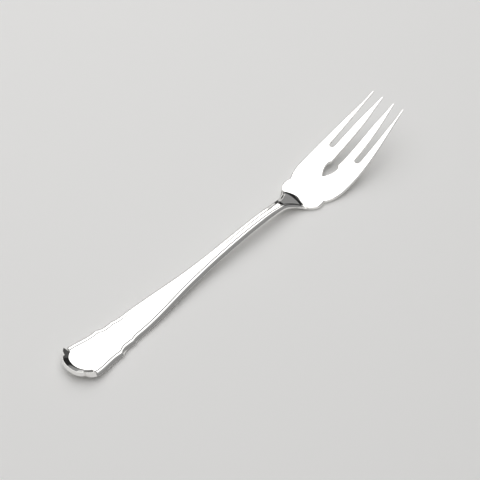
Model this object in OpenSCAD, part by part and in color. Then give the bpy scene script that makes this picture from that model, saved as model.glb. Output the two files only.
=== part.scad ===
// Fish fork with a pierced, four-tined head and a scalloped handle edged with a thread.
// X runs from the tail of the handle to the tine tips, Y to the left and Z up.
// It lies face up: the heel of the head and the back of the handle touch Z = 0.

/* [Overall] */
// Length from the tail of the handle to the tine tips
fork_length = 181.5; // [166:0.5:200]
// Height of the face at the tine tips above the table
tip_rise = 18.6; // [14:0.2:22]
// Height of the face along the crest of the stem
crest_rise = 7.1; // [6:0.1:9]
// Height of the face at the end of the tail
tail_rise = 4.6; // [3.8:0.1:5.6]

/* [Tail] */
// Greatest width of the handle, across the corners of the tail
tail_width = 18.6; // [16.8:0.1:21]
// Distance from the tail's end to those corners
tail_corner_in = 8.1; // [7:0.1:9]
// Width of the lobe in the middle of the tail's end, nick to nick
tail_lobe_width = 12; // [10.6:0.1:13.2]
// Distance from the tail's end to the nicks beside the lobe
tail_nick_in = 3.2; // [2.4:0.1:4]
// Distance from the tail's end to the end of the panel, where the lip turns up
tail_floor_in = 3.05; // [2.4:0.05:3.6]
// Height of the turned-up lip at the tail's end
tail_lip = 1.1; // [0.7:0.1:1.6]
// Width of the rounding along the rim of the lip
tail_roll = 0.5; // [0.3:0.05:0.8]

/* [Scallops] */
// Distance from the tail's end to the waist behind the rear cusps
rear_waist_in = 18.3; // [16.6:0.1:19.1]
// Width at that waist
rear_waist_width = 16.6; // [15:0.1:17.4]
// Distance from the tail's end to the rear cusps
rear_cusp_in = 20.5; // [19.7:0.1:21.5]
// Width across the rear cusps
rear_cusp_width = 16.8; // [15.4:0.1:18]
// Distance from the tail's end to the waist between the cusps
mid_waist_in = 24.5; // [23.5:0.1:25.9]
// Width at the waist between the cusps
mid_waist_width = 14.4; // [13:0.1:15.4]
// Distance from the tail's end to the front cusps
front_cusp_in = 27.5; // [26.7:0.1:28.5]
// Width across the front cusps
front_cusp_width = 14.6; // [13.4:0.1:15.6]

/* [Blade and stem] */
// Distance from the tail's end to the start of the long taper
blade_in = 32.5; // [30.5:0.5:35]
// Width of the handle there
blade_width = 13.2; // [11.8:0.1:14.2]
// Distance from the tail's end to the middle of the taper
taper_in = 58.5; // [52:0.5:65]
// Width of the handle there
taper_width = 8.5; // [7.1:0.1:9.5]
// Height of the face there above the table
taper_rise = 4.25; // [3.8:0.05:5]
// Distance from the tine tips back to the narrowest place of the stem
stem_back = 72; // [69:0.5:81]
// Width of the stem there
stem_width = 5.8; // [5:0.1:6.6]
// Thickness of the handle where its back touches the table
handle_thickness = 2.5; // [2:0.1:3.2]
// Thickness of the stem at its narrowest
stem_thickness = 3; // [2.4:0.1:3.6]
// Thickness at the end of the tail
tail_thickness = 1.9; // [1.5:0.1:2.4]

/* [Thread border] */
// Width of the thread's round outer side, from its crest to the edge of the handle
thread_roll = 1.55; // [1.2:0.05:1.8]
// Distance from the thread's crest to the bottom of the groove inside it
thread_width = 0.55; // [0.4:0.05:0.7]
// Distance from the bottom of the groove to the panel's edge
groove_width = 0.5; // [0.35:0.05:0.65]
// Depth of the groove below the thread's crest
groove_depth = 0.18; // [0.12:0.02:0.36]
// Depth of the panel's edge below the thread's crest
panel_sink = 0.06; // [0.02:0.02:0.1]
// Height of the panel's cushion above its edge
panel_crown = 0.45; // [0.15:0.05:0.6]
// Length over which the threads run out at the neck
thread_fade = 2.5; // [2:0.25:6]

/* [Head] */
// Distance from the tine tips back to the joint with the handle
head_length = 55.8; // [55.6:0.1:57.6]
// Distance from the tine tips back to the flare of the neck
neck_back = 59; // [58.4:0.1:61]
// Width of the neck at its flare
neck_width = 11.7; // [10:0.1:13]
// How far the foot of the neck bows toward the tines, per square millimetre of half width
neck_bow = 0.02; // [0.01:0.005:0.05]
// Distance from the tine tips back to the ears of the heel
ear_back = 52.7; // [51.8:0.1:53.6]
// Width across the ears
ear_width = 19.9; // [18.4:0.1:21.4]
// Distance from the tine tips back to the notches in front of the ears
notch_back = 49.7; // [48.8:0.1:50.4]
// Width between those notches
notch_width = 19; // [17.4:0.1:19.4]
// Distance from the tine tips back to the widest place of the head
wide_back = 36; // [34:0.5:39]
// Width of the head there
head_width = 24.5; // [22.6:0.1:27]
// Width across the tips of the outer tines
tip_width = 16.8; // [16:0.1:18]
// Thickness of the head at its heel
head_thickness = 1.9; // [1.5:0.1:2.4]
// Thickness of the tines at their tips
tip_thickness = 1.2; // [0.9:0.05:1.6]
// Radius of the head's edges
edge_round = 0.4; // [0.2:0.05:0.5]

/* [Slots and heart] */
// Length of the two side slots
side_slot_length = 27.6; // [24:0.2:29]
// Width of a side slot at its round bottom
side_slot_width = 2.2; // [1.8:0.1:2.6]
// Distance between the bottoms of the two side slots, middle to middle
side_slot_gap = 13.9; // [13:0.1:14.6]
// Width of the middle slot
mid_slot_width = 3.5; // [3:0.1:4]
// Width of the middle slot at the tine tips
mid_mouth_width = 5.4; // [4.8:0.1:5.8]
// Distance from the tine tips back to the shoulders of the heart
heart_back = 33; // [31:0.2:35]
// Length of the heart
heart_length = 7.4; // [6:0.2:9]
// Width of the heart across its lobes
heart_width = 5.2; // [4.6:0.1:6]
// Width of each tine at its tip
tine_tip_width = 0.55; // [0.4:0.05:0.8]

/* [Joint] */
// Lean of the scarf joint from upright, in degrees
scarf_lean = 50; // [35:1:55]
// Thickness of the solder in the joint
solder_thickness = 0.15; // [0.08:0.01:0.3]

/* [Hidden] */

tail_x = -fork_length / 2;
tip_x = fork_length / 2;
nick_x = tail_x + tail_nick_in;
corner_x = tail_x + tail_corner_in;
rear_waist_x = tail_x + rear_waist_in;
rear_cusp_x = tail_x + rear_cusp_in;
mid_waist_x = tail_x + mid_waist_in;
front_cusp_x = tail_x + front_cusp_in;
blade_x = tail_x + blade_in;
taper_x = tail_x + taper_in;
stem_x = tip_x - stem_back;
neck_x = tip_x - neck_back;
joint_x = tip_x - head_length;
ear_x = tip_x - ear_back;
notch_x = tip_x - notch_back;
wide_x = tip_x - wide_back;

// The panel's ridge ends here, and the tail's end fans out from it
hub_ahead = 1.6;
hub_x = corner_x + hub_ahead;
// The back rests on the table from this far ahead of the rear cusps to the front cusps
rest_ahead = 1;
rest_x = rear_cusp_x + rest_ahead;
// The stem is highest this far behind its narrowest place
crest_behind = 6;
crest_x = stem_x - crest_behind;
// The brow of the neck, where it turns down, is this far behind the joint and this high above
brow_behind = 9;
brow_rise = 3.85;
brow_x = joint_x - brow_behind;
// The foot of the neck, where it turns level again, is this far behind the joint and this high above
foot_behind = 1.4;
foot_rise = 0.37;
foot_x = joint_x - foot_behind;
// The heel of the head rests from the joint to this far behind the notches
heel_behind = 0.3;
heel_x = notch_x - heel_behind;

// Slopes of the outline: out to a cusp, in from it, along the taper, at the neck and notch
cusp_lead = 0.12;
rear_cusp_fall = 0.7;
front_cusp_fall = 0.35;
blade_slope = 0.02;
taper_slope = 0.097;
neck_flare = 0.75;
notch_fall = 0.35;
notch_rise = 0.64;
tip_taper = 0.14;
// Slopes of the face at the tail, up the taper, at the neck's brow and foot, and at the tine tips
tail_slope = 0.2;
rise_slope = 0.067;
brow_slope = 0.36;
foot_slope = 0.52;
tip_slope = 0.44;

// Rows of a curve hold a place, a value, the slope before it and the slope after it
side_rows = [
    [corner_x, tail_width / 2, 0, 0],
    [rear_waist_x, rear_waist_width / 2, 0, 0],
    [rear_cusp_x, rear_cusp_width / 2, cusp_lead, -rear_cusp_fall],
    [mid_waist_x, mid_waist_width / 2, 0, 0],
    [front_cusp_x, front_cusp_width / 2, cusp_lead, -front_cusp_fall],
    [blade_x, blade_width / 2, -blade_slope, -blade_slope],
    [taper_x, taper_width / 2, -taper_slope, -taper_slope],
    [stem_x, stem_width / 2, 0, 0],
    [neck_x, neck_width / 2, neck_flare, neck_flare],
    [ear_x, ear_width / 2, 0, 0],
    [notch_x, notch_width / 2, -notch_fall, notch_rise],
    [wide_x, head_width / 2, 0, 0],
    [tip_x, tip_width / 2, -tip_taper, -tip_taper],
];

face_rows = [
    [tail_x, tail_rise, 0, -tail_slope],
    [rest_x, handle_thickness, 0, 0],
    [front_cusp_x, handle_thickness, 0, 0],
    [taper_x, taper_rise, rise_slope, rise_slope],
    [crest_x, crest_rise, 0, 0],
    [brow_x, head_thickness + brow_rise, -brow_slope, -brow_slope],
    [foot_x, head_thickness + foot_rise, -foot_slope, -foot_slope],
    [joint_x, head_thickness, 0, 0],
    [heel_x, head_thickness, 0, 0],
    [tip_x, tip_rise, tip_slope, 0],
];

thickness_rows = [
    [tail_x, tail_thickness, 0, 0],
    [rest_x, handle_thickness, 0, 0],
    [front_cusp_x, handle_thickness, 0, 0],
    [stem_x, stem_thickness, 0, 0],
    [joint_x, head_thickness, 0, 0],
    [heel_x, head_thickness, 0, 0],
    [tip_x, tip_thickness, 0, 0],
];

function clamped(v) = min(1, max(0, v));
function eased(v) = let (u = clamped(v)) u * u * (3 - 2 * u);

// One cubic between two values with given slopes, u running from 0 to 1 over the span h
function hermite(u, h, y0, m0, y1, m1) =
    y0 + (y1 - y0) * eased(u)
    + h * m0 * (u * u * u - 2 * u * u + u)
    + h * m1 * (u * u * u - u * u);

// Value at x of the curve through the rows, level beyond its ends
function chain(rows, x, i = 0) =
    i < len(rows) - 2 && x > rows[i + 1][0] ? chain(rows, x, i + 1) :
    let (
        a = rows[i],
        b = rows[i + 1],
        h = b[0] - a[0]
    )
    hermite(clamped((x - a[0]) / h), h, a[1], a[3], b[1], b[2]);

function half_width(x) = chain(side_rows, x);
function face_z(x) = chain(face_rows, x);
function thickness(x) = chain(thickness_rows, x);

// Height of the handle's face off its middle line: the neck's foot bows toward the tines
function bowed_z(x, y) =
    let (bow = neck_bow * clamped((x - stem_x) / (joint_x - stem_x)) * y * y)
    x < joint_x ? face_z(min(joint_x, x + bow)) : face_z(x);

// Places from a up to b, b left out, in n equal steps
function spread(a, b, n) = [for (i = [0 : n - 1]) a + (b - a) * i / n];
function reversed(list) = [for (i = [len(list) - 1 : -1 : 0]) list[i]];
function mirrored(points) = [for (p = points) [p[0], -p[1]]];

// Share of the thread border: whole on the handle, none from the joint to the tips
function thread_share(x) = eased((joint_x - x) / thread_fade);

// Share of the tail's lip, by how far a section of the tail points backward
lip_from = 0.3;
lip_whole = 0.48;
// The lip is this much steeper where its sections point sideways, as a share
lip_gain = 0.7;
function tail_share(way) = eased((-way[0] - lip_from) / (lip_whole - lip_from));

// The roll falls over this share of the thickness and widens at this rate along the neck
roll_drop = 0.53;
roll_flare = 0.1;
// The roll ends in an edge, this many degrees short of upright
roll_short = 25;
// The back is rounded over these shares of the half width and thickness
back_round = 0.65;
back_rise = 0.43;
// Roll, thread and groove take at most these shares of a narrow half width
roll_most = 0.55;
thread_most = 0.2;
groove_most = 0.16;
// The cushion is whole where the panel's half width is at least this, and runs out in this length
crown_half = 2;
crown_fade = 5;

face_count = 5;
top_arc_steps = 4;
back_arc_steps = 3;
back_start = face_count + top_arc_steps + 1;
section_count = back_start + back_arc_steps + 1;

// Width of the rounding at the outer edge of the face
function roll(l, x, tail) =
    let (
        flared = thread_roll + roll_flare * max(0, x - stem_x),
        whole = min(flared + (tail_roll - thread_roll) * tail, roll_most * l)
    )
    edge_round + (whole - edge_round) * thread_share(x);

// Outer edge of a cross-section, from the face round to the back: places across and heights
function edge_section(l, x, tail = 0, lift = 0) =
    let (
        share = thread_share(x),
        t = thickness(x),
        ew = roll(l, x, tail),
        eh = edge_round + (roll_drop * t - edge_round) * share + lift,
        turn = 90 - roll_short * share,
        bw = edge_round + (back_round * l - edge_round) * share,
        bh = edge_round + (back_rise * t - edge_round) * share
    )
    concat(
        [for (k = [0 : top_arc_steps])
            let (q = turn * k / top_arc_steps)
            [l - ew + ew * sin(q) / sin(turn), lift - eh * (1 - cos(q)) / (1 - cos(turn))]],
        [for (k = [0 : back_arc_steps])
            let (q = 90 * k / back_arc_steps) [l - bw + bw * cos(q), bh - bh * sin(q) - t]]
    );

// Distances of the groove's bottom and of the panel's edge from the middle, for an edge at l
function groove_at(l, x, way) =
    let (
        tail = tail_share(way),
        side = l - roll(l, x, tail) - min(thread_width, thread_most * l),
        end = hub_x - tail_x - tail_floor_in
    )
    side + (end - side) * tail;
function panel_half(l, x, way) = groove_at(l, x, way) - min(groove_width, groove_most * l);

// Height of the cushion's middle above the panel's edge, for a panel of half width p
function crown(p, x) = panel_crown * min(1, p / crown_half) * eased((stem_x - x) / crown_fade + 1);

// Whole cross-section of the handle from the panel's ridge round to the back
function handle_section(l, x, way) =
    let (
        tail = tail_share(way),
        share = thread_share(x) * (1 - tail),
        dip = share * groove_depth,
        sink = share * panel_sink,
        g = groove_at(l, x, way),
        p = panel_half(l, x, way),
        c = crown(p, x),
        run = l - roll(l, x, tail) - g,
        lift = tail * tail_lip * (1 + lip_gain * (1 + way[0])) * run / (tail_floor_in - tail_roll)
    )
    concat(
        [for (u = [1 / 3, 2 / 3, 1]) [u * p, c * (1 + cos(180 * u)) / 2 - sink]],
        [[g, -dip], [g + run / 2, (lift - dip) / 2]],
        edge_section(l, x, tail, lift)
    );

// Stations shared by the pieces on either side of the joint
joint_reach = 2.5;
neck_stations = spread(joint_x - joint_reach, joint_x + joint_reach, 6);
neck_front_x = joint_x + joint_reach;

side_stations = concat(
    [neck_front_x],
    reversed(neck_stations),
    reversed(spread(stem_x, joint_x - joint_reach, 11)),
    reversed(spread(blade_x, stem_x, 20)),
    reversed(spread(front_cusp_x, blade_x, 7)),
    reversed(spread(mid_waist_x, front_cusp_x, 5)),
    reversed(spread(rear_cusp_x, mid_waist_x, 6)),
    reversed(spread(rear_waist_x, rear_cusp_x, 4)),
    reversed(spread(corner_x, rear_waist_x, 9))
);

// The lobe at the tail's end is half an oval, and each shoulder a quarter of one
lobe_half = tail_lobe_width / 2;
shoulder_depth = corner_x - nick_x;
shoulder_width = tail_width / 2 - lobe_half;
shoulder_steps = 9;
lobe_steps = 9;

// Outline of the handle: its left side from the neck back to the tail, then round the tail
left_half = concat(
    [for (x = side_stations) [x, half_width(x)]],
    [for (k = [1 : shoulder_steps])
        let (q = 90 * (1 - k / shoulder_steps))
        [corner_x - shoulder_depth * cos(q), lobe_half + shoulder_width * sin(q)]],
    [for (k = [1 : lobe_steps - 1])
        let (q = 90 * k / lobe_steps) [nick_x - tail_nick_in * sin(q), lobe_half * cos(q)]]
);

handle_outline = concat(left_half, [[tail_x, 0]], reversed(mirrored(left_half)));
spine_stations = concat([for (x = side_stations) if (x > hub_x) x], [hub_x]);

// Which place on the spine an outline point's cross-section starts from
function spine_index(x) =
    x > hub_x ? search(x, spine_stations)[0] : len(spine_stations) - 1;

function handle_points() = concat(
    [for (q = handle_outline)
        let (
            root = [max(q[0], hub_x), 0],
            l = norm(q - root),
            way = (q - root) / l,
            section = handle_section(l, q[0], way)
        )
        for (k = [0 : section_count - 1])
            let (
                at = root + way * section[k][0],
                base = k < back_start ? bowed_z(at[0], at[1]) : face_z(at[0])
            )
            [at[0], at[1], base + section[k][1]]],
    [for (x = spine_stations)
        let (c = crown(panel_half(half_width(x), x, [0, 1]), x))
        [x, 0, face_z(x) + c - thread_share(x) * panel_sink]],
    [for (x = spine_stations) [x, 0, face_z(x) - thickness(x)]]
);

function handle_faces() =
    let (
        m = len(handle_outline),
        n = section_count,
        top = m * n,
        back = top + len(spine_stations),
        on_spine = [for (q = handle_outline) spine_index(q[0])]
    )
    concat(
        [for (j = [0 : m - 2], i = [0 : n - 2], half = [0, 1])
            let (a = j * n + i, b = a + n)
            half == 0 ? [a, b + 1, a + 1] : [a, b, b + 1]],
        [for (j = [0 : m - 2]) let (k = top + on_spine[j], a = j * n) [k, a + n, a]],
        [for (j = [0 : m - 2]) if (on_spine[j] != on_spine[j + 1])
            [top + on_spine[j], top + on_spine[j + 1], (j + 1) * n]],
        [for (j = [0 : m - 2]) let (k = back + on_spine[j], a = j * n + n - 1) [k, a, a + n]],
        [for (j = [0 : m - 2]) if (on_spine[j] != on_spine[j + 1])
            [back + on_spine[j], (j + 2) * n - 1, back + on_spine[j + 1]]],
        [concat(
            [back],
            [for (i = [n - 1 : -1 : 0]) (m - 1) * n + i],
            [top],
            [for (i = [0 : n - 1]) i]
        )]
    );

// A bent plate with the head's outline, drawn through the given places along the fork
module plate(stations) {
    half = [for (x = stations) edge_section(half_width(x), x)];
    n = 2 * len(half[0]);
    points = [for (j = [0 : len(stations) - 1])
        let (x = stations[j], ring = concat(half[j], reversed([for (s = half[j]) [-s[0], s[1]]])))
        for (s = ring) [x, s[0], face_z(x) + s[1]]];
    last = (len(stations) - 1) * n;
    polyhedron(
        points,
        concat(
            [for (j = [0 : len(stations) - 2], i = [0 : n - 1], half = [0, 1])
                let (a = j * n + i, b = j * n + (i + 1) % n)
                half == 0 ? [a, b + n, a + n] : [a, b, b + n]],
            [[for (i = [n - 1 : -1 : 0]) i]],
            [[for (i = [0 : n - 1]) last + i]]
        )
    );
}

// Stations of the head, of which only those ahead of the joint's own are used
head_spread = concat(
    spread(neck_front_x, ear_x, 3),
    spread(ear_x, notch_x, 4),
    spread(notch_x, wide_x, 9),
    spread(wide_x, tip_x, 15),
    [tip_x]
);
head_stations = concat(neck_stations, [neck_front_x], [for (x = head_spread) if (x > neck_front_x) x]);

// Everything in front of the scarf plane, moved along by the given distance
scarf_z = face_z(joint_x) - thickness(joint_x) / 2;
scarf_span = 3 * ear_width;
module ahead_of_scarf(distance, depth) {
    translate([joint_x, 0, scarf_z])
        rotate([0, scarf_lean, 0])
            translate([distance, -scarf_span / 2, -scarf_span / 2])
                cube([depth, scarf_span, scarf_span]);
}

// Cutters run this far past the tips and through the plate
cut_past = 2;
cut_depth = 4 * tip_rise;

// Half the middle slot, and the two edges of a side slot, at x
side_root_x = tip_x - side_slot_length;
heart_x = tip_x - heart_back;
tine_x = (side_root_x + tip_x) / 2;
inner_root = side_slot_gap / 2 - side_slot_width / 2;
outer_root = side_slot_gap / 2 + side_slot_width / 2;
inner_tip = mid_mouth_width / 2 + tine_tip_width;
outer_tip = tip_width / 2 - tine_tip_width;
mouth_slope = 0.07;
inner_taper = 0.2;
mid_rows = [
    [heart_x, mid_slot_width / 2, 0, 0],
    [tine_x, mid_slot_width / 2, 0, 0],
    [tip_x, mid_mouth_width / 2, mouth_slope, 0],
];
inner_rows = [[side_root_x, inner_root, 0, 0], [tip_x, inner_tip, -inner_taper, 0]];
outer_rows = [[side_root_x, outer_root, 0, 0], [tip_x, outer_tip, 0, 0]];
slot_steps = 12;
side_slot_radius = side_slot_width / 2;

function slot_edge(rows, from) =
    concat(
        [for (x = spread(from, tip_x, slot_steps)) [x, chain(rows, x)]],
        [for (x = [tip_x, tip_x + cut_past]) [x, chain(rows, x)]]
    );

module side_slot() {
    from = side_root_x + side_slot_radius;
    polygon(concat(slot_edge(inner_rows, from), reversed(slot_edge(outer_rows, from))));
    translate([from, side_slot_gap / 2]) circle(r = side_slot_radius, $fn = 48);
}

function bezier(a, b, c, d, n) =
    [for (i = [0 : n]) let (u = i / n, v = 1 - u)
        v * v * v * a + 3 * v * v * u * b + 3 * v * u * u * c + u * u * u * d];

// The heart is widest this far behind its shoulders
heart_belly = 1.5;
// Its flank leaves the point along this run and share of the width, and meets the belly over this
point_run = 1.7;
point_spread = 0.46;
belly_run = 2.2;
// Its lobe turns in from the belly over this run, and meets the slot over this drop and overlap
lobe_run = 0.9;
lobe_drop = 0.25;
slot_overlap = 0.1;
flank_steps = 10;
turn_steps = 5;

// The heart points to the handle, and its lobes turn in to the middle slot
module heart() {
    lobe = heart_width / 2;
    neck = mid_slot_width / 2;
    belly_x = heart_x - heart_belly;
    point_x = heart_x - heart_length;
    flank = bezier([point_x, 0], [point_x + point_run, point_spread * lobe],
        [belly_x - belly_run, lobe], [belly_x, lobe], flank_steps);
    turn = bezier([belly_x, lobe], [belly_x + lobe_run, lobe],
        [heart_x - slot_overlap, lobe - lobe_drop], [heart_x + slot_overlap, neck], turn_steps);
    left = concat(flank, [for (i = [1 : turn_steps]) turn[i]], [[heart_x + lobe_run, neck]]);
    polygon(concat(left, reversed([for (i = [1 : len(left) - 1]) [left[i][0], -left[i][1]]])));
}

module mid_slot() {
    edge = slot_edge(mid_rows, heart_x);
    polygon(concat(edge, reversed(mirrored(edge))));
}

module fork_head() {
    color("silver")
        difference() {
            plate(head_stations);
            ahead_of_scarf(solder_thickness / 2 - scarf_span, scarf_span);
            linear_extrude(cut_depth, center = true) {
                heart();
                mid_slot();
                side_slot();
                mirror([0, 1]) side_slot();
            }
        }
}

module handle() {
    color("silver")
        difference() {
            polyhedron(handle_points(), handle_faces());
            ahead_of_scarf(-solder_thickness / 2, scarf_span);
        }
}

// The silver solder that fills the scarf joint, flush with both pieces
module solder_seam() {
    color("gainsboro")
        intersection() {
            plate(concat(neck_stations, [neck_front_x]));
            ahead_of_scarf(-solder_thickness / 2, solder_thickness);
        }
}

fork_head();
handle();
solder_seam();
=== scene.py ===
import math

import bmesh
import bpy
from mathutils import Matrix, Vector


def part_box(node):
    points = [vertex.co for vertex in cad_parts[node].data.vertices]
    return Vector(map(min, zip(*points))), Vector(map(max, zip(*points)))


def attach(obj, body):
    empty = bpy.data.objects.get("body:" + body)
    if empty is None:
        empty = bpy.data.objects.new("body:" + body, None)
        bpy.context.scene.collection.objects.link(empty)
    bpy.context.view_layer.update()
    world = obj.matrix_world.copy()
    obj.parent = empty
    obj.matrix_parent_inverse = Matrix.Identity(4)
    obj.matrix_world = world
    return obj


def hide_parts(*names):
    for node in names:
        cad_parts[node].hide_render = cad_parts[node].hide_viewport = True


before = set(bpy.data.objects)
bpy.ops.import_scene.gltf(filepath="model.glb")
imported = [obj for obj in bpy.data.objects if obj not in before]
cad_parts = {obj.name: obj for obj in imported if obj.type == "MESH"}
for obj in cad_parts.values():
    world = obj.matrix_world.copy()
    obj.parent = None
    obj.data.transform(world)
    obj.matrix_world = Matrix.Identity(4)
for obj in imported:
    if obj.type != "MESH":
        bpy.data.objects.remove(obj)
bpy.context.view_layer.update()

mm = 0.001
mergeGap = 1e-4     # points nearer than this become one, in mm
cutSlack = 1e-5     # play at a cut, in mm
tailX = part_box("handle")[0].x / mm      # end of the tail, in mm
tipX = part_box("fork_head")[1].x / mm    # ends of the tines, in mm

# places along the fork in mm, counted from the tail or back from the tips
at = {
    "corner": tailX + 8.1, "rearWaist": tailX + 18.3, "rearCusp": tailX + 20.5, "midWaist": tailX + 24.5,
    "frontCusp": tailX + 27.5, "blade": tailX + 32.5, "taper": tailX + 58.5, "stem": tipX - 72,
    "neck": tipX - 59, "joint": tipX - 55.8, "foot": tipX - 55.25, "ear": tipX - 52.7, "notch": tipX - 49.7,
    "wide": tipX - 36,
}
at.update({    # places on the face that go by another place
    "rest": at["rearCusp"] + 1, "summit": at["stem"] - 6, "fall": at["stem"] + 1.2, "hollow": at["stem"] + 9.75,
    "brow": at["joint"] - 9, "shin": at["foot"] - 2.9, "heel": at["notch"] - 0.3,
})

# the lines that the pieces follow: place, value in mm, slope before, slope after
lines = {
    "side": [
        (at["corner"], 9.3, 0, 0), (at["rearWaist"], 8.3, 0, 0), (at["rearCusp"], 8.4, 0.12, -0.7),
        (at["midWaist"], 7.2, 0, 0), (at["frontCusp"], 7.3, 0.12, -0.35), (at["blade"], 6.6, -0.02, -0.02),
        (at["taper"], 4.25, -0.097, -0.097), (at["stem"], 2.9, 0, 0), (at["neck"], 5.85, 0.75, 0.75),
        (at["ear"], 9.95, 0, 0), (at["notch"], 9.5, -0.35, 0.64), (at["wide"], 12.25, 0, 0),
        (tipX, 8.4, -0.14, -0.14),
    ],
    "face": [
        (tailX, 4.6, 0, -0.2), (at["rest"], 2.5, 0, 0), (at["frontCusp"], 2.5, 0, 0),
        (at["taper"], 4.25, 0.067, 0.067), (at["summit"], 7.1, 0, 0), (at["fall"], 6.65, -0.12, -0.12),
        (at["brow"], 5.65, -0.41, -0.41), (at["shin"], 2.8, -0.45, -0.45), (at["foot"], 1.9, -0.17, 0),
        (at["heel"], 1.9, 0, 0), (tipX, 18.6, 0.44, 0),
    ],
    "thick": [
        (tailX, 1.9, 0, 0), (at["rest"], 2.5, 0, 0), (at["frontCusp"], 2.5, 0, 0), (at["stem"], 3, 0, 0),
        (at["joint"], 1.9, 0, 0), (at["heel"], 1.9, 0, 0), (tipX, 1.2, 0, 0),
    ],
    "scoop": [(at["stem"], 0, 0, 0), (at["hollow"], 0.1, 0, 0), (at["foot"], 0, 0, 0)],
}


def clamp(v, low=0.0, high=1.0):
    return max(low, min(high, v))


def eased(v):
    v = clamp(v)
    return v * v * (3 - 2 * v)


def along(rows, x):    # value of a line at x
    if x <= rows[0][0]:
        return rows[0][1]
    for a, b in zip(rows, rows[1:]):
        if x <= b[0]:
            h = b[0] - a[0]
            u = (x - a[0]) / h
            return (a[1] + (b[1] - a[1]) * eased(u) + h * a[3] * (u ** 3 - 2 * u * u + u)
                    + h * b[2] * (u ** 3 - u * u))
    return rows[-1][1]


def steps(marks, gap):    # even steps from mark to mark
    out = [marks[0]]
    for a, b in zip(marks, marks[1:]):
        count = max(2, round(abs(b - a) / gap))
        out += [a + (b - a) * k / count for k in range(1, count + 1)]
    return out


def turns(count, first, last):    # even angles from first to last, in radians
    return [math.radians(first + (last - first) * k / count) for k in range(count + 1)]


def sideY(x):
    return along(lines["side"], x)


def faceZ(x):
    return along(lines["face"], x)


def backZ(x):
    return faceZ(x) - along(lines["thick"], x)


def everything(bm):
    return bm.verts[:] + bm.edges[:] + bm.faces[:]


def finished(bm, name, node, crease):    # mesh and object from a bmesh in mm
    bmesh.ops.recalc_face_normals(bm, faces=bm.faces[:])
    bmesh.ops.scale(bm, vec=(mm, mm, mm), verts=bm.verts[:])
    for face in bm.faces:
        face.smooth = True
    mesh = bpy.data.meshes.new(name)
    bm.to_mesh(mesh)
    bm.free()
    mesh.set_sharp_from_angle(angle=math.radians(crease))
    piece = bpy.data.objects.new(name, mesh)
    bpy.context.scene.collection.objects.link(piece)
    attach(piece, "root")
    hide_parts(node)
    print(name, "has", len(mesh.polygons), "faces")
    return piece


# scarf joint: a leaning cut at the neck, with solder in its gap
seamShape = {"lean": 50.0, "gap": 0.15, "crease": 40.0}


def cutAtScarf(bm, offset, keepTips):    # offset is along the cut's normal, toward the tips
    lean = math.radians(seamShape["lean"])
    normal = Vector((math.cos(lean), 0, -math.sin(lean)))
    middle = Vector((at["joint"], 0, (faceZ(at["joint"]) + backZ(at["joint"])) / 2))
    cut = bmesh.ops.bisect_plane(bm, geom=everything(bm), dist=cutSlack, plane_co=middle + normal * offset,
                                 plane_no=normal, clear_outer=not keepTips, clear_inner=keepTips)
    rim = [e for e in cut["geom_cut"] if isinstance(e, bmesh.types.BMEdge)]
    bmesh.ops.contextual_create(bm, geom=rim)


# handle: one half as a net, bent round the outline, then mirrored
handleShape = {
    "lobeHalf": 6.0, "nickIn": 3.2, "hubAhead": 1.6,    # lobe and nicks of the tail, and where they fan from
    "floorIn": 3.05, "tailRoll": 0.5,    # hollow inside the tail's rim
    "lip": 0.75, "lipGain": 1.9, "lipFrom": 0.3, "lipWhole": 0.48, "lipFoot": 0.45, "lipBend": 0.35,
    "roll": 1.55, "rollMost": 0.55, "rollFlare": -0.05, "rollDrop": 0.5, "rollShort": 65.0,    # outer roll
    "thread": 0.55, "threadMost": 0.2, "groove": 0.5, "grooveMost": 0.16, "grooveDepth": 0.18, "threadFade": 2.5,
    "panelSink": 0.06, "panelCrown": 0.45, "crownHalf": 4.0, "crownFade": 5.0,    # cushioned panel
    "bow": 0.05, "reach": 2.5,    # how far the neck's foot bows, and the length kept past the joint
    "edgeRound": 0.4, "backRound": 0.65, "backRise": 0.46, "crease": 22.0,
    "neckStep": 0.2, "sideStep": 0.5, "tailSteps": 26,
    "net": {"panel": 16, "groove": 8, "thread": 12, "edge": 10, "wall": 2, "back": 10, "under": 8},
}


def handleOutline():    # left side from the neck to the end of the tail
    s = handleShape
    lobe, nick, corner = s["lobeHalf"], tailX + s["nickIn"], at["corner"]
    half = sideY(corner)
    neck = [at["joint"] + s["reach"], at["joint"], at["neck"]]
    side = [at["neck"], at["stem"], at["taper"], at["blade"], at["frontCusp"], at["midWaist"], at["rearCusp"],
            at["rearWaist"], corner]
    out = [(x, sideY(x)) for x in steps(neck, s["neckStep"]) + steps(side, s["sideStep"])[1:]]
    out += [(corner - (corner - nick) * math.cos(q), lobe + (half - lobe) * math.sin(q))
            for q in turns(s["tailSteps"], 90, 0)[1:]]
    out += [(nick - s["nickIn"] * math.sin(q), lobe * math.cos(q)) for q in turns(s["tailSteps"], 0, 90)[1:]]
    return out


def lipClimb(t):    # the lip's inner face is hollow at its foot and straight above
    foot, bend = handleShape["lipFoot"], handleShape["lipBend"]

    def raised(v):
        return foot * v + (1 - foot) * (v * v / (2 * bend) if v < bend else v - bend / 2)

    return raised(t) / raised(1)


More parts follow.
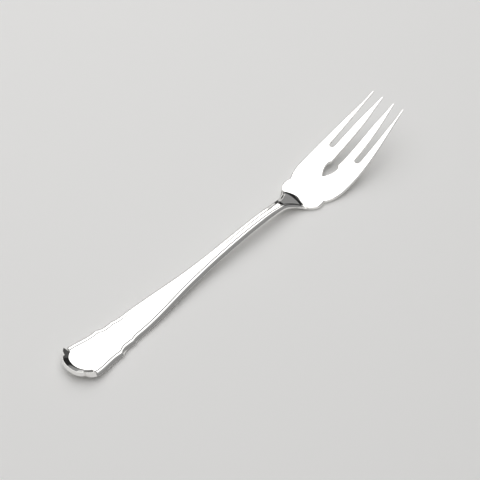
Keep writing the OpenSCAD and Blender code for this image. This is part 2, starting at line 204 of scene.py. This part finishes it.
def handleSection(half, x, back):    # out from the spine over the face, then round under to the spine
    s, net = handleShape, handleShape["net"]
    tail = eased((back - s["lipFrom"]) / (s["lipWhole"] - s["lipFrom"]))    # 1 where the lip is whole
    share = eased((at["joint"] - x) / s["threadFade"])    # 0 where the thread has run out
    thick = along(lines["thick"], x)
    rim = s["edgeRound"]
    roll = s["roll"] + (s["tailRoll"] - s["roll"]) * tail + s["rollFlare"] * max(0, x - at["stem"])
    roll = rim + (min(roll, s["rollMost"] * half) - rim) * share
    crest = half - roll
    groove = crest - min(s["thread"], s["threadMost"] * half)
    floorEnd = at["corner"] + s["hubAhead"] - tailX - s["floorIn"]
    groove += (floorEnd - groove) * tail
    panel = groove - min(s["groove"], s["grooveMost"] * half)
    lift = tail * s["lip"] * (1 + s["lipGain"] * (1 - back)) * (crest - groove) / (s["floorIn"] - s["tailRoll"])
    drop = rim + (s["rollDrop"] * thick - rim) * share + lift
    wide = rim + (s["backRound"] * half - rim) * share
    tall = rim + (s["backRise"] * thick - rim) * share
    scoop = along(lines["scoop"], x)
    ridgeSink = share * s["panelSink"] + scoop
    sink = share * (1 - tail) * s["panelSink"] + scoop
    dip = share * (1 - tail) * s["grooveDepth"] + scoop
    crown = s["panelCrown"] * min(1, panel / s["crownHalf"]) * eased((at["stem"] - x) / s["crownFade"] + 1)
    out = []    # distance from the spine, height over the face, and whether it is on the face
    for k in range(net["panel"] + 1):
        t = k / net["panel"]
        low = ridgeSink + (sink - ridgeSink) * t
        out.append((panel * t, crown * (1 + math.cos(math.pi * t)) / 2 - low, True))
    for k in range(1, net["groove"] + 1):
        t = k / net["groove"]
        out.append((panel + (groove - panel) * t, -sink - (dip - sink) * t, True))
    for k in range(1, net["thread"] + 1):
        t = k / net["thread"]
        rise = t + (lipClimb(t) - t) * tail
        out.append((groove + (crest - groove) * t, (lift + dip) * rise - dip, True))
    turn = 90 - s["rollShort"] * share
    across, down = roll / math.sin(math.radians(turn)), drop / (1 - math.cos(math.radians(turn)))
    for q in turns(net["edge"], 0, turn)[1:]:
        out.append((crest + across * math.sin(q), lift - down * (1 - math.cos(q)), True))
    for k in range(1, net["wall"]):
        t = k / net["wall"]
        out.append((half, (lift - drop) * (1 - t) + (tall - thick) * t, False))
    for q in turns(net["back"], 0, 90):
        out.append((half - wide + wide * math.cos(q), tall - tall * math.sin(q) - thick, False))
    for k in range(1, net["under"] + 1):
        out.append(((half - wide) * (1 - k / net["under"]), -thick, False))
    return out


def makeHandle():
    s = handleShape
    hub = at["corner"] + s["hubAhead"]
    rows = []
    for x, y in handleOutline():
        root = Vector((max(x, hub), 0))    # the sections fan out round the tail
        way = Vector((x, y)) - root
        half = way.length
        way /= half
        row = []
        for a, z, top in handleSection(half, x, -way.x):
            p = root + way * a
            near = clamp((p.x - at["stem"]) / (at["joint"] - at["stem"]))
            bow = s["bow"] * near * p.y ** 2 if top else 0
            footX = p.x if p.x >= at["foot"] else min(at["foot"], p.x + bow)
            row.append(Vector((p.x, p.y, faceZ(footX) + z)))
        rows.append(row)
    bm = bmesh.new()
    across, around = len(rows) - 1, len(rows[0]) - 1
    bmesh.ops.create_grid(bm, x_segments=across, y_segments=around, size=1)
    for v in bm.verts:
        v.co = rows[round((v.co.x + 1) * across / 2)][round((v.co.y + 1) * around / 2)]
    bmesh.ops.mirror(bm, geom=everything(bm), axis="Y", merge_dist=mergeGap)
    bmesh.ops.remove_doubles(bm, verts=bm.verts[:], dist=mergeGap)
    bmesh.ops.dissolve_degenerate(bm, edges=bm.edges[:], dist=cutSlack)
    cutAtScarf(bm, -seamShape["gap"] / 2, False)
    return finished(bm, "struck_handle", "handle", s["crease"])


# head: one flat blank with slots and heart, edges rounded ring by ring, then bent
headShape = {
    "slotLength": 27.6, "slotWidth": 2.2, "slotGap": 13.9,    # side slots
    "midWidth": 3.5, "mouthWidth": 5.4, "mouthSlope": 0.07, "innerTaper": 0.2,    # middle slot
    "tineTip": 0.55, "tipCap": 0.5,
    "heartBack": 33.0, "heartLength": 7.4, "heartHalf": 2.6, "heartBelly": 1.5, "heartMouth": 0.1,
    "heartShoulder": 0.25, "heartUpper": 0.9, "heartLower": 2.2, "heartPoint": 1.7, "heartSlim": 0.46,
    "outerRound": 0.8, "slotRound": 0.75, "heartRound": 0.45, "roundDrop": 0.6,
    "roundGrow": 0.1, "roundRoom": 0.4, "straight": 0.02,    # how fast a rounding may grow, and its room in a bend
    "blank": 1.9, "back": 3.0, "rings": 5, "crease": 50.0,
    "edgeStep": 0.6, "slotStep": 0.7, "bendStep": 0.8, "tipSteps": 10, "bottomSteps": 16,
}


def bezier(a, b, c, d, count):
    out = []
    for k in range(1, count + 1):
        t = k / count
        w = ((1 - t) ** 3, 3 * t * (1 - t) ** 2, 3 * t * t * (1 - t), t ** 3)
        out.append(tuple(sum(w[n] * p[i] for n, p in enumerate((a, b, c, d))) for i in (0, 1)))
    return out


def headOutline():    # left half, from the neck round the tines to the point of the heart
    s = headShape
    slotX, heartX, cap = tipX - s["slotLength"], tipX - s["heartBack"], tipX - s["tipCap"]
    mid, mouth, r = s["midWidth"] / 2, s["mouthWidth"] / 2, s["slotWidth"] / 2
    half = sideY(tipX)
    midTine = (slotX + tipX) / 2
    inner = [(slotX, s["slotGap"] / 2 - r, 0, 0), (tipX, mouth + s["tineTip"], -s["innerTaper"], 0)]
    outer = [(slotX, s["slotGap"] / 2 + r, 0, 0), (tipX, half - s["tineTip"], 0, 0)]
    middle = [(midTine, mid, 0, 0), (tipX, mouth, s["mouthSlope"], 0)]

    def roundEnd(a, b):    # end of a tine from its outer to its inner side
        return [(cap + s["tipCap"] * math.sin(q), (a + b) / 2 + (a - b) / 2 * math.cos(q))
                for q in turns(s["tipSteps"], 0, 180)[1:-1]]

    marks = sorted([at["joint"] - s["back"], at["joint"], at["neck"], at["ear"], at["notch"], at["wide"], cap])
    edge = [(x, sideY(x)) for x in steps(marks, s["edgeStep"])]
    out = [(x, y, s["outerRound"]) for x, y in edge]
    run = steps([cap, slotX + r], s["slotStep"])
    slot = roundEnd(edge[-1][1], along(outer, cap))
    slot += [(x, along(outer, x)) for x in run[:-1]]
    slot += [(slotX + r - r * math.cos(q), s["slotGap"] / 2 + r * math.sin(q))
             for q in turns(s["bottomSteps"], 90, -90)]
    slot += [(x, along(inner, x)) for x in run[-2::-1]]
    slot += roundEnd(along(inner, cap), along(middle, cap))
    top = heartX + s["heartMouth"]
    slot += [(x, along(middle, x)) for x in steps([cap, top], s["slotStep"])]
    out += [(x, y, s["slotRound"]) for x, y in slot]
    lobe, point, belly = s["heartHalf"], heartX - s["heartLength"], heartX - s["heartBelly"]
    heart = bezier((top, mid), (heartX - s["heartMouth"], lobe - s["heartShoulder"]),
                   (belly + s["heartUpper"], lobe), (belly, lobe), 8)
    heart += bezier((belly, lobe), (belly - s["heartLower"], lobe),
                    (point + s["heartPoint"], s["heartSlim"] * lobe), (point, 0), 14)
    return out + [(x, y, s["heartRound"]) for x, y in heart]


def roundedLoop():    # whole outline with the inward way and the rounding each point can take
    s = headShape
    left = headOutline()
    loop = left + [(x, -y, r) for x, y, r in left[-2::-1]]
    count = len(loop)
    flat = [Vector(p[:2]) for p in loop]
    area = sum(a.x * b.y - b.x * a.y for a, b in zip(flat, flat[1:] + flat[:1]))
    sign = 1 if area > 0 else -1
    ways, radii = [], []
    for k in range(count):
        before, after = flat[k] - flat[k - 1], flat[(k + 1) % count] - flat[k]
        tangent = (before.normalized() + after.normalized()).normalized()
        ways.append(Vector((-tangent.y, tangent.x)) * sign)
        bend = sign * math.atan2(before.x * after.y - before.y * after.x, before.dot(after))
        r = loop[k][2]
        if bend > s["straight"]:
            r = min(r, s["roundRoom"] * (before.length + after.length) / bend)
        radii.append(r)
    for way in (1, -1):
        for k in list(range(count))[::way] * 2:    # twice round, so that the start is evened too
            n = (k - way) % count
            radii[k] = min(radii[k], radii[n] + s["roundGrow"] * (flat[k] - flat[n]).length)
    return flat, ways, radii


def makeBlank():
    s = headShape
    flat, ways, radii = roundedLoop()
    deep = s["blank"]

    def place(k, angle, top):
        r = radii[k]
        p = flat[k] + ways[k] * r * (1 - math.cos(angle))
        drop = min(r, s["roundDrop"]) * (1 - math.sin(angle))
        return Vector((p.x, p.y, -drop if top else drop - deep))

    bm = bmesh.new()
    order = bm.verts.layers.int.new("order")
    verts = []
    for k in range(len(flat)):
        v = bm.verts.new(place(k, 0, True))
        v[order] = k
        verts.append(v)
    rim = [bm.edges.new((a, b)) for a, b in zip(verts, verts[1:] + verts[:1])]
    climb = turns(s["rings"], 0, 90)
    for top, angles in ((True, climb[1:]), (False, climb)):
        edges = rim
        for angle in angles:
            made = bmesh.ops.extrude_edge_only(bm, edges=edges)["geom"]
            for v in made:
                if isinstance(v, bmesh.types.BMVert):
                    v.co = place(v[order], angle, top)
            edges = [e for e in made if isinstance(e, bmesh.types.BMEdge) and len(e.link_faces) == 1]
        bmesh.ops.contextual_create(bm, geom=edges)
    x = at["joint"] - s["back"]
    while x < tipX:    # bending lines across the blank
        bmesh.ops.bisect_plane(bm, geom=everything(bm), dist=cutSlack, plane_co=(x, 0, 0), plane_no=(1, 0, 0))
        x += s["bendStep"]
    for v in bm.verts:
        if v.co.z > -deep / 2:
            v.co.z += faceZ(v.co.x)
        else:
            v.co.z += deep + backZ(v.co.x)
    return bm


def makeHead():
    bm = makeBlank()
    cutAtScarf(bm, seamShape["gap"] / 2, True)
    head = finished(bm, "pierced_head", "fork_head", headShape["crease"])
    weight = head.modifiers.new("even_sheen", "WEIGHTED_NORMAL")
    weight.mode = "FACE_AREA"
    weight.weight = 100
    weight.keep_sharp = True
    return head


def makeSeam():    # the slice of the blank that lies in the joint
    bm = makeBlank()
    cutAtScarf(bm, seamShape["gap"] / 2, False)
    cutAtScarf(bm, -seamShape["gap"] / 2, True)
    return finished(bm, "solder_line", "solder_seam", seamShape["crease"])


# polished metal: bright, with faint cloudy wear and fine scratches along the length
silverLook = {
    "bright": (0.94, 0.935, 0.92, 1), "worn": (0.9, 0.89, 0.87, 1),
    "roughLow": 0.05, "roughHigh": 0.11, "cloud": 60.0,
}
solderLook = {
    "bright": (0.9, 0.89, 0.87, 1), "worn": (0.85, 0.84, 0.81, 1),
    "roughLow": 0.08, "roughHigh": 0.16, "cloud": 300.0,
}
wear = {
    "cloudFrom": 0.3, "cloudTo": 0.7, "finer": 4, "smear": (1, 2, 2),
    "scratch": 0.02, "scratchDeep": 0.0001, "scratchSize": 120, "scratchLong": (1, 30, 30),
}


def metal(name, look):
    mat = bpy.data.materials.new(name)
    mat.use_nodes = True
    nodes, links = mat.node_tree.nodes, mat.node_tree.links
    shader = nodes["Principled BSDF"]
    shader.inputs["Metallic"].default_value = 1.0
    place = nodes.new("ShaderNodeTexCoord").outputs["Object"]

    def noise(scale, stretch, detail):
        mapping = nodes.new("ShaderNodeMapping")
        mapping.inputs["Scale"].default_value = stretch
        tex = nodes.new("ShaderNodeTexNoise")
        tex.inputs["Scale"].default_value = scale
        tex.inputs["Detail"].default_value = detail
        links.new(place, mapping.inputs["Vector"])
        links.new(mapping.outputs["Vector"], tex.inputs["Vector"])
        return tex.outputs["Fac"]

    cloud = noise(look["cloud"], (1, 1, 1), 4)
    tint = nodes.new("ShaderNodeMix")
    tint.data_type = "RGBA"
    tint.inputs[6].default_value = look["bright"]
    tint.inputs[7].default_value = look["worn"]
    links.new(cloud, tint.inputs[0])
    links.new(tint.outputs[2], shader.inputs["Base Color"])

    rough = nodes.new("ShaderNodeMapRange")
    rough.inputs["From Min"].default_value = wear["cloudFrom"]
    rough.inputs["From Max"].default_value = wear["cloudTo"]
    rough.inputs["To Min"].default_value = look["roughLow"]
    rough.inputs["To Max"].default_value = look["roughHigh"]
    links.new(noise(look["cloud"] * wear["finer"], wear["smear"], 5), rough.inputs["Value"])
    links.new(rough.outputs["Result"], shader.inputs["Roughness"])

    bump = nodes.new("ShaderNodeBump")
    bump.inputs["Strength"].default_value = wear["scratch"]
    bump.inputs["Distance"].default_value = wear["scratchDeep"]
    links.new(noise(wear["scratchSize"], wear["scratchLong"], 6), bump.inputs["Height"])
    links.new(bump.outputs["Normal"], shader.inputs["Normal"])
    return mat


# studio: pale floor, one large soft panel above and ahead, and glowing sheets round it that only the metal
# mirrors, as painted dark and grey reflections
studio = {
    "floor": (0.9, 0.895, 0.885, 1), "floorSize": 4.0, "floorUnder": 0.00002, "floorRough": 0.7, "floorSheen": 0.2,
    "panelAt": (0.225, 0.415, 0.75), "panelSize": (1.22, 1.8), "panelPower": 7.4, "panelTurn": -46.05,
    "air": (1.0, 0.995, 0.985, 1), "airPale": 0.74, "airFill": 0.25,
    "sheetAway": 0.9, "sheetSteps": 24,
}
# each glowing sheet goes from one turn to another in degrees and from foot to top in m
# its glow, a painted shade that only the metal mirrors, changes between the two heights in fade
glowSheets = {
    "ahead_glow_sheet": {"turn": (12, 48), "height": (0, 0.46), "shade": (0.27, 0.02), "fade": (0.18, 0.21)},
    "corner_glow_sheet": {"turn": (-22, 12), "height": (0.25, 0.78), "shade": (0.08, 0.08), "fade": (0.1, 0.2)},
    "right_glow_sheet": {"turn": (-85, -22), "height": (0, 1.15), "shade": (0.27, 0.45), "fade": (0.35, 1.15)},
    "left_glow_sheet": {"turn": (48, 85), "height": (0.06, 0.52), "shade": (0.2, 0.2), "fade": (0.1, 0.2)},
}


def meshObject(name, bm):
    mesh = bpy.data.meshes.new(name)
    bm.to_mesh(mesh)
    bm.free()
    obj = bpy.data.objects.new(name, mesh)
    bpy.context.scene.collection.objects.link(obj)
    return obj


def makeFloor():
    s = studio
    bm = bmesh.new()
    bmesh.ops.create_grid(bm, x_segments=1, y_segments=1, size=s["floorSize"] / 2)
    floor = meshObject("floor", bm)
    floor.location.z = -s["floorUnder"]
    mat = bpy.data.materials.new("floor_paper")
    mat.use_nodes = True
    shader = mat.node_tree.nodes["Principled BSDF"]
    shader.inputs["Base Color"].default_value = s["floor"]
    shader.inputs["Roughness"].default_value = s["floorRough"]
    shader.inputs["Specular IOR Level"].default_value = s["floorSheen"]
    floor.data.materials.append(mat)


def makeGlowSheet(name):
    s = glowSheets[name]
    first, last = [math.radians(turn) for turn in s["turn"]]
    side = Vector((math.cos(first), math.sin(first), 0)) * studio["sheetAway"]
    bm = bmesh.new()
    ends = [bm.verts.new(side + Vector((0, 0, z))) for z in s["height"]]
    pole = bm.edges.new(ends)
    bmesh.ops.spin(bm, geom=ends + [pole], cent=(0, 0, 0), axis=(0, 0, 1), steps=studio["sheetSteps"],
                   angle=last - first)
    glowSheet = meshObject(name, bm)
    glowSheet.visible_camera = False    # the metal mirrors its glow as a painted reflection of shade, and it puts no shade on the floor
    glowSheet.visible_diffuse = False
    glowSheet.visible_shadow = False
    mat = bpy.data.materials.new(name)
    mat.use_nodes = True
    nodes, links = mat.node_tree.nodes, mat.node_tree.links
    nodes.remove(nodes["Principled BSDF"])
    height = nodes.new("ShaderNodeSeparateXYZ")
    shade = nodes.new("ShaderNodeMapRange")
    shade.interpolation_type = "SMOOTHSTEP"
    shade.inputs["From Min"].default_value, shade.inputs["From Max"].default_value = s["fade"]
    shade.inputs["To Min"].default_value, shade.inputs["To Max"].default_value = s["shade"]
    # painted shade: the sheet glows dim grey to near black, standing in for an unlit room seen in the metal
    glow = nodes.new("ShaderNodeEmission")
    links.new(nodes.new("ShaderNodeTexCoord").outputs["Object"], height.inputs[0])
    links.new(height.outputs["Z"], shade.inputs["Value"])
    links.new(shade.outputs["Result"], glow.inputs["Strength"])
    links.new(glow.outputs["Emission"], nodes["Material Output"].inputs["Surface"])
    glowSheet.data.materials.append(mat)


def makePanel():
    s = studio
    data = bpy.data.lights.new("soft_panel", "AREA")
    data.shape = "RECTANGLE"
    data.size, data.size_y = s["panelSize"]
    data.energy = s["panelPower"]
    panel = bpy.data.objects.new("soft_panel", data)
    panel.location = s["panelAt"]
    panel.rotation_euler = (0, 0, math.radians(s["panelTurn"]))
    panel.visible_camera = False
    bpy.context.scene.collection.objects.link(panel)


def makeAir():    # camera, glossy and transmission rays see a pale room, the rest is weak fill
    s = studio
    world = bpy.data.worlds.new("studio_air")
    bpy.context.scene.world = world
    world.use_nodes = True
    nodes, links = world.node_tree.nodes, world.node_tree.links
    path = nodes.new("ShaderNodeLightPath")
    seen = nodes.new("ShaderNodeMath")
    seen.operation = "MAXIMUM"
    through = nodes.new("ShaderNodeMath")
    through.operation = "MAXIMUM"
    level = nodes.new("ShaderNodeMapRange")
    level.inputs["To Min"].default_value = s["airFill"]
    level.inputs["To Max"].default_value = s["airPale"]
    links.new(path.outputs["Is Camera Ray"], seen.inputs[0])
    links.new(path.outputs["Is Glossy Ray"], seen.inputs[1])
    links.new(seen.outputs[0], through.inputs[0])
    links.new(path.outputs["Is Transmission Ray"], through.inputs[1])
    links.new(through.outputs[0], level.inputs["Value"])
    links.new(level.outputs["Result"], nodes["Background"].inputs["Strength"])
    nodes["Background"].inputs["Color"].default_value = s["air"]


def makeStudio():
    makeFloor()
    for name in glowSheets:
        makeGlowSheet(name)
    makePanel()
    makeAir()
    print("studio is set")


# camera: long lens, from behind the tail and to its right
cameraSet = {
    "lens": 120.0, "sensor": 36.0, "turn": 46.05, "down": 48.0, "away": 0.642469, "aim": (0.002865, 0.00157, 0.0),
}


def makeCamera():
    s = cameraSet
    turn, down = math.radians(s["turn"]), math.radians(s["down"])
    look = Vector((math.sin(turn) * math.cos(down), math.cos(turn) * math.cos(down), -math.sin(down)))
    data = bpy.data.cameras.new("camera")
    data.lens = s["lens"]
    data.sensor_width = s["sensor"]
    cam = bpy.data.objects.new("camera", data)
    cam.location = Vector(s["aim"]) - look * s["away"]
    cam.rotation_euler = look.to_track_quat("-Z", "Y").to_euler()
    bpy.context.scene.collection.objects.link(cam)
    bpy.context.scene.camera = cam
    print("camera is set")


handle = makeHandle()
head = makeHead()
seam = makeSeam()
silver = metal("polished_silver", silverLook)
handle.data.materials.append(silver)
head.data.materials.append(silver)
seam.data.materials.append(metal("flush_solder", solderLook))
makeStudio()
makeCamera()
bpy.context.scene.view_settings.view_transform = "Standard"
